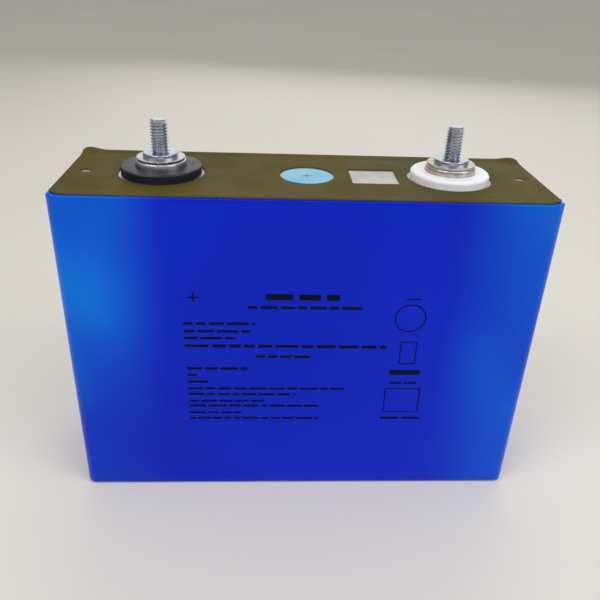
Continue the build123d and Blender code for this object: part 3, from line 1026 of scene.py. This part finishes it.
@dataclass
class Terminal:
    """One terminal: plastic disc, welded pad, plate, and the stud with its real thread."""

    polarity: Polarity
    finishes: Finishes
    pitch: float = 1.0
    thread_depth: float = 0.56
    seat_relief: float = 0.15  # groove round the stud's neck: its depth, and how far it clears the thread
    scallops: int = 44
    boss_radius: float = 5.6  # of the disc's boss in the lid's hole
    post_bore: float = 4.1  # radius of the disc's hole round the rivet post
    pad_bore: float = 4.05  # radius of the pad's hole round the same post
    gate_place: Place = (10.3, 1.5)  # the gate's mark from the axis
    gate_depth: float = 0.35
    flange_height: float = 1.5
    crest: float = 2.95  # radius over the thread's crests
    neck_depth: float = 0.45  # how far the neck lies below the crests
    round_steps: int = 96  # points round the stud
    row_rise: float = 0.05  # height of one row of points on the thread
    axis: Place = field(init=False)

    def __post_init__(self) -> None:
        """Reads the terminal's axis from its stud."""
        low, high = node_box(self.node("stud"))
        self.axis = ((low.x + high.x) / 2, (low.y + high.y) / 2)

    def node(self, name: str) -> str:
        """Gives the full name of one of the terminal's CAD nodes."""
        return f"{self.polarity.value}_{name}"

    def build(self) -> None:
        """Makes the terminal's pieces from the bottom up."""
        self.build_disc()
        self.build_pad()
        self.build_plate()
        self.build_stud()

    def build_disc(self) -> None:
        """Makes the outer insulator, softly rounded at its top edge."""
        low, high = node_box(self.node("outer_insulator"))
        lid = node_box("lid")[1].z
        pad_low, pad_high = node_box(self.node("pad"))
        radius, seat = (high.x - low.x) / 2, (pad_high.x - pad_low.x) / 2 + 0.05
        edge = 0.5 if self.polarity is Polarity.POSITIVE else 1.1
        profile = [(self.boss_radius, low.z), (self.boss_radius, lid)]
        profile += [(radius - 0.25, lid), (radius - 0.05, lid + 0.25)]
        profile += arc((radius - edge, high.z - edge), edge, 0, 90, 8)
        profile += [(seat + 0.35, high.z)] + arc((seat + 0.2, high.z - 0.2), 0.2, 90, 180, 4)
        profile += [(seat, pad_low.z), (self.post_bore, pad_low.z), (self.post_bore, low.z)]
        piece = lathe(self.node("disc"), profile, self.axis, 160, ring=True)
        if self.polarity is Polarity.POSITIVE:
            self.mark_gate(piece, high.z)
        material = self.finishes.black_disc if self.polarity is Polarity.POSITIVE else self.finishes.white_disc
        slot = "black_plastic" if self.polarity is Polarity.POSITIVE else "white_plastic"
        dress(piece, material, slot, self.node("outer_insulator"))

    def mark_gate(self, piece: bpy.types.Object, top: float) -> None:
        """Sinks the small round mark of the mould's gate in the disc's top."""
        x, y = self.axis[0] + self.gate_place[0], self.gate_place[1]
        angles = [math.tau * i / 24 for i in range(24)]
        ends = ((0.3, top - self.gate_depth), (0.45, top + 0.2))
        rings = [[(x + r * math.cos(a), r * math.sin(a) + y, z) for a in angles] for r, z in ends]
        cutter = skin_of_rings("cutter", rings)
        cut(piece, "DIFFERENCE", cutter)

    def build_pad(self) -> None:
        """Makes the pad with a rounded, slightly rough edge."""
        low, high = node_box(self.node("pad"))
        radius = (high.x - low.x) / 2
        profile = [(self.pad_bore, low.z), (radius, low.z)]
        profile += [(radius, low.z + 0.6 + 0.3 * i) for i in range(6)]
        profile += arc((radius - 0.55, high.z - 0.55), 0.55, 0, 90, 6)[1:]
        profile += [(radius - 1.2, high.z), (self.pad_bore, high.z)]
        piece = lathe(self.node("terminal_pad"), profile, self.axis, 160, self.rough(0.05), ring=True)
        dress(piece, self.pad_finish(), "terminal_aluminium", self.node("pad"))

    def pad_finish(self) -> bpy.types.Material:
        """Gives the metal of this terminal's pad and plate."""
        return self.finishes.positive_pad if self.polarity is Polarity.POSITIVE else self.finishes.negative_pad

    def rough(self, amount: float) -> Shape:
        """Gives a shape function that roughens a turned piece by up to amount millimetres."""

        def shape(angle: float, radius: float, height: float) -> Place:
            """Moves a point in or out by smooth noise."""
            spot = Vector((radius * math.cos(angle), radius * math.sin(angle), height))
            shift = amount * noise.noise(spot * 1.3 + Vector((self.axis[0], 0, 0)))
            return radius - abs(shift), height + (shift * 0.4 if radius > 4.2 else 0.0)

        return shape

    def scalloped(self, amount: float) -> Shape:
        """Gives a shape function with the overlapping ripples of a pulsed weld."""

        def shape(angle: float, radius: float, height: float) -> Place:
            """Moves a point in and down between two ripples."""
            turn = (angle * self.scallops / math.tau) % 1.0
            dip = 1 - abs(2 * turn - 1) ** 2
            ragged = noise.noise(Vector((math.cos(angle) * 9, math.sin(angle) * 9, height)))
            return radius - amount * (1 - dip) - 0.04 * ragged, height + 0.25 * amount * dip

        return shape

    def build_plate(self) -> None:
        """Makes the plate under the stud, and the weld seam round its foot."""
        low, high = node_box(self.node("stud_plate"))
        radius = (high.x - low.x) / 2
        profile = [(0.6, low.z + 0.02), (radius - 0.5, low.z + 0.02), (radius - 0.1, low.z + 0.3)]
        profile += arc((radius - 0.2, high.z - 0.2), 0.2, 0, 90, 4)
        profile += [(radius - 0.9, high.z), (radius - 1.5, high.z + 0.02), (0.6, high.z)]
        piece = lathe(self.node("plate"), profile, self.axis, 264, self.scalloped(0.12), ring=True)
        dress(piece, self.pad_finish(), "stud_steel", self.node("stud_plate"))
        groove = arc((radius - 0.45, low.z + 0.1), 0.3, 0, 360 - 36, 9)
        seam = lathe(self.node("weld_seam"), groove, self.axis, 264, self.scalloped(0.22), ring=True, sharp=80)
        # The positive seam is painted dark as the shadow of its groove; the negative one keeps the weld's own
        # colour
        weld = self.finishes.painted_weld_shadow if self.polarity is Polarity.POSITIVE else self.finishes.seam
        dress(seam, weld, "terminal_aluminium")

    def thread_radius(self, angle: float, height: float, start: float, end: float) -> float:
        """Gives the stud's radius at a point of its thread.

        Args:
            angle: Angle round the axis.
            height: Height of the point.
            start: Height of the stud's foot on the flange.
            end: Height of its tip.

        Returns:
            The radius, with the relief at the foot and the chamfer at the tip.
        """
        turn = (height / self.pitch - angle / math.tau) % 1.0
        away = abs(2 * turn - 1)
        flank = min(max((away - 0.12) / 0.66, 0.0), 1.0)
        depth = self.thread_depth * (3 * flank**2 - 2 * flank**3) ** 0.8
        radius = self.crest - depth
        tip = self.crest - 0.75 + (end - height)
        foot = self.crest - self.neck_depth + 1.6 * max(height - start - 0.35, 0.0)
        return min(radius, tip, foot)

    def build_stud(self) -> None:
        """Makes the stud in one piece: round flange, relief, helical thread and chamfered tip."""
        low, high = node_box(self.node("stud"))
        flange = (high.x - low.x) / 2
        flange_top = low.z + self.flange_height
        rough = self.rough(0.06)
        rows: list[Ring] = []
        shoulder = [(flange, low.z), (flange, low.z + 0.45), (flange - 0.03, low.z + 0.95)]
        shoulder += arc((flange - 0.3, flange_top - 0.3), 0.3, 0, 90, 4)
        groove, neck = self.crest + self.seat_relief, self.crest - self.neck_depth
        shoulder += [(flange - 1.6, flange_top), (groove, flange_top), (groove, flange_top - self.seat_relief)]
        shoulder += [(neck, flange_top - self.seat_relief), (neck, flange_top + 0.05)]
        for radius, height in shoulder:
            rows.append(self.circle(lambda a, r=radius, z=height: rough(a, r, z)))
        count = round((high.z - flange_top - 0.1) / self.row_rise)
        for k in range(1, count + 1):
            height = flange_top + 0.1 + (high.z - flange_top - 0.1) * k / count
            rows.append(self.circle(lambda a, z=height: (self.thread_radius(a, z, flange_top, high.z), z)))
        rows.append(self.circle(lambda a: (1.2, high.z)))
        piece = skin_of_rings(self.node("threaded_stud"), rows, sharp=35)
        dress(piece, self.finishes.stud, "stud_steel", self.node("stud"))

    def circle(self, shape: Callable[[float], Place]) -> Ring:
        """Gives one ring of points about the axis, from a radius and height for each angle."""
        ring: Ring = []
        for i in range(self.round_steps):
            angle = math.tau * i / self.round_steps
            radius, height = shape(angle)
            x, y = radius * math.cos(angle), radius * math.sin(angle)
            ring.append((self.axis[0] + x, self.axis[1] + y, height))
        return ring


@dataclass
class InsideParts:
    """The CAD nodes that keep their own shape: the can, the lid and all that the case holds."""

    finishes: Finishes
    standing_in: tuple[str, ...] = ("sleeve", "top_sheet", "vent_film")

    def build(self) -> None:
        """Gives each remaining node the material of its slot."""
        slots = {part["node"]: part["material_slot"] for part in frame["record"]["subparts"]}
        replaced = set(self.standing_in)
        for polarity in Polarity:
            replaced |= {f"{polarity.value}_{n}" for n in ("outer_insulator", "pad", "stud_plate", "stud")}
        for node, slot in slots.items():
            if node not in replaced:
                dress_node(node, self.material_for(slot))

    def material_for(self, slot: str) -> bpy.types.Material:
        """Gives the material that a slot of the record stands for."""
        seen = {
            "can_aluminium": self.finishes.lid,
            "terminal_aluminium": self.finishes.positive_pad,
            "bottom_film": self.finishes.film,
        }
        return seen.get(slot) or self.finishes.inside[slot]


@dataclass
class Studio:
    """Plain pale floor, soft lamps and the camera."""

    lens: float = 38.77
    camera_place: Point = (-13.757, -211.686, 181.046)
    camera_right: Point = (0.998452, -0.042554, 0.035795)
    camera_up: Point = (-0.011273, 0.475454, 0.879666)

    def build(self) -> None:
        """Makes the floor, the lamps, the sky and the camera."""
        self.build_floor()
        self.lamp("key_lamp", (-420, -360, 620), 520, 520, 1.5)
        self.lamp("fill_lamp", (520, -300, 420), 520, 520, 1.3)
        self.lamp("back_lamp", (120, 640, 520), 900, 900, 1.7)
        self.lamp("strip_lamp", (0, -300, 680), 1300, 60, 1.6)
        self.build_sky(0.48)
        self.build_camera()

    def build_floor(self) -> None:
        """Makes the floor, a wide pale sheet at the object's base."""
        reach = 6000.0
        corners = [(-reach, -reach, 0), (reach, -reach, 0), (reach, reach, 0), (-reach, reach, 0)]
        floor = mesh_object("floor", corners, [[0, 1, 2, 3]])
        # Matt painted board: pale and warm, with hardly any sheen
        board = Finish(
            "matt painted board", "#e9e5dc", "#e6e2d9", 0.6, patch_mm=300, grain_mm=2.0, grain_height_mm=0.01
        )
        floor.data.materials.append(board.build())

    def lamp(self, name: str, place: Point, width: float, height: float, power: float) -> None:
        """Hangs a soft lamp that faces the cell.

        Args:
            name: The lamp's name.
            place: Where it hangs, in millimetres.
            width: Its width in millimetres.
            height: Its height in millimetres.
            power: Its power in watts.
        """
        data = bpy.data.lights.new(name, "AREA")
        data.energy = power
        data.shape = "RECTANGLE"
        data.size, data.size_y = width * MM, height * MM
        lamp = bpy.data.objects.new(name, data)
        lamp.location = Vector(place) * MM
        aim = Vector((0, 0, 60)) * MM - lamp.location
        lamp.rotation_euler = aim.to_track_quat("-Z", "Y").to_euler()
        bpy.context.scene.collection.objects.link(lamp)

    def build_sky(self, strength: float) -> None:
        """Makes the even pale light that comes from all round."""
        world = bpy.data.worlds.new("studio_sky")
        bpy.context.scene.world = world
        world.use_nodes = True
        tree = world.node_tree
        tree.nodes.clear()
        sky = add_node(tree, "Background", {"Color": linear("#f4f2ee"), "Strength": strength})
        add_node(tree, "OutputWorld", {"Surface": sky.outputs["Background"]})

    def build_camera(self) -> None:
        """Makes the camera and looks through it."""
        data = bpy.data.cameras.new("camera")
        data.lens = self.lens
        data.sensor_width = 36.0
        data.clip_start = 0.01
        camera = bpy.data.objects.new("camera", data)
        right, up = Vector(self.camera_right).normalized(), Vector(self.camera_up).normalized()
        turned = Matrix((right, up, right.cross(up))).transposed().to_4x4()
        camera.matrix_world = Matrix.Translation(Vector(self.camera_place) * MM) @ turned
        scene = bpy.context.scene
        scene.collection.objects.link(camera)
        scene.camera = camera
        scene.view_settings.view_transform = "Standard"


def main() -> None:
    """Builds the cell's visible pieces, dresses the rest and sets the scene."""
    logging.basicConfig(level=logging.INFO, format="%(name)s: %(message)s")
    finishes = Finishes()
    sleeve = FilmSleeve(finishes)
    sleeve.build()
    PrintedPanel(finishes, sleeve).build()
    TopSheet(finishes).build()
    VentWindow(finishes).build()
    for polarity in Polarity:
        Terminal(polarity, finishes).build()
    InsideParts(finishes).build()
    Studio().build()


if __name__ == "__main__":
    main()
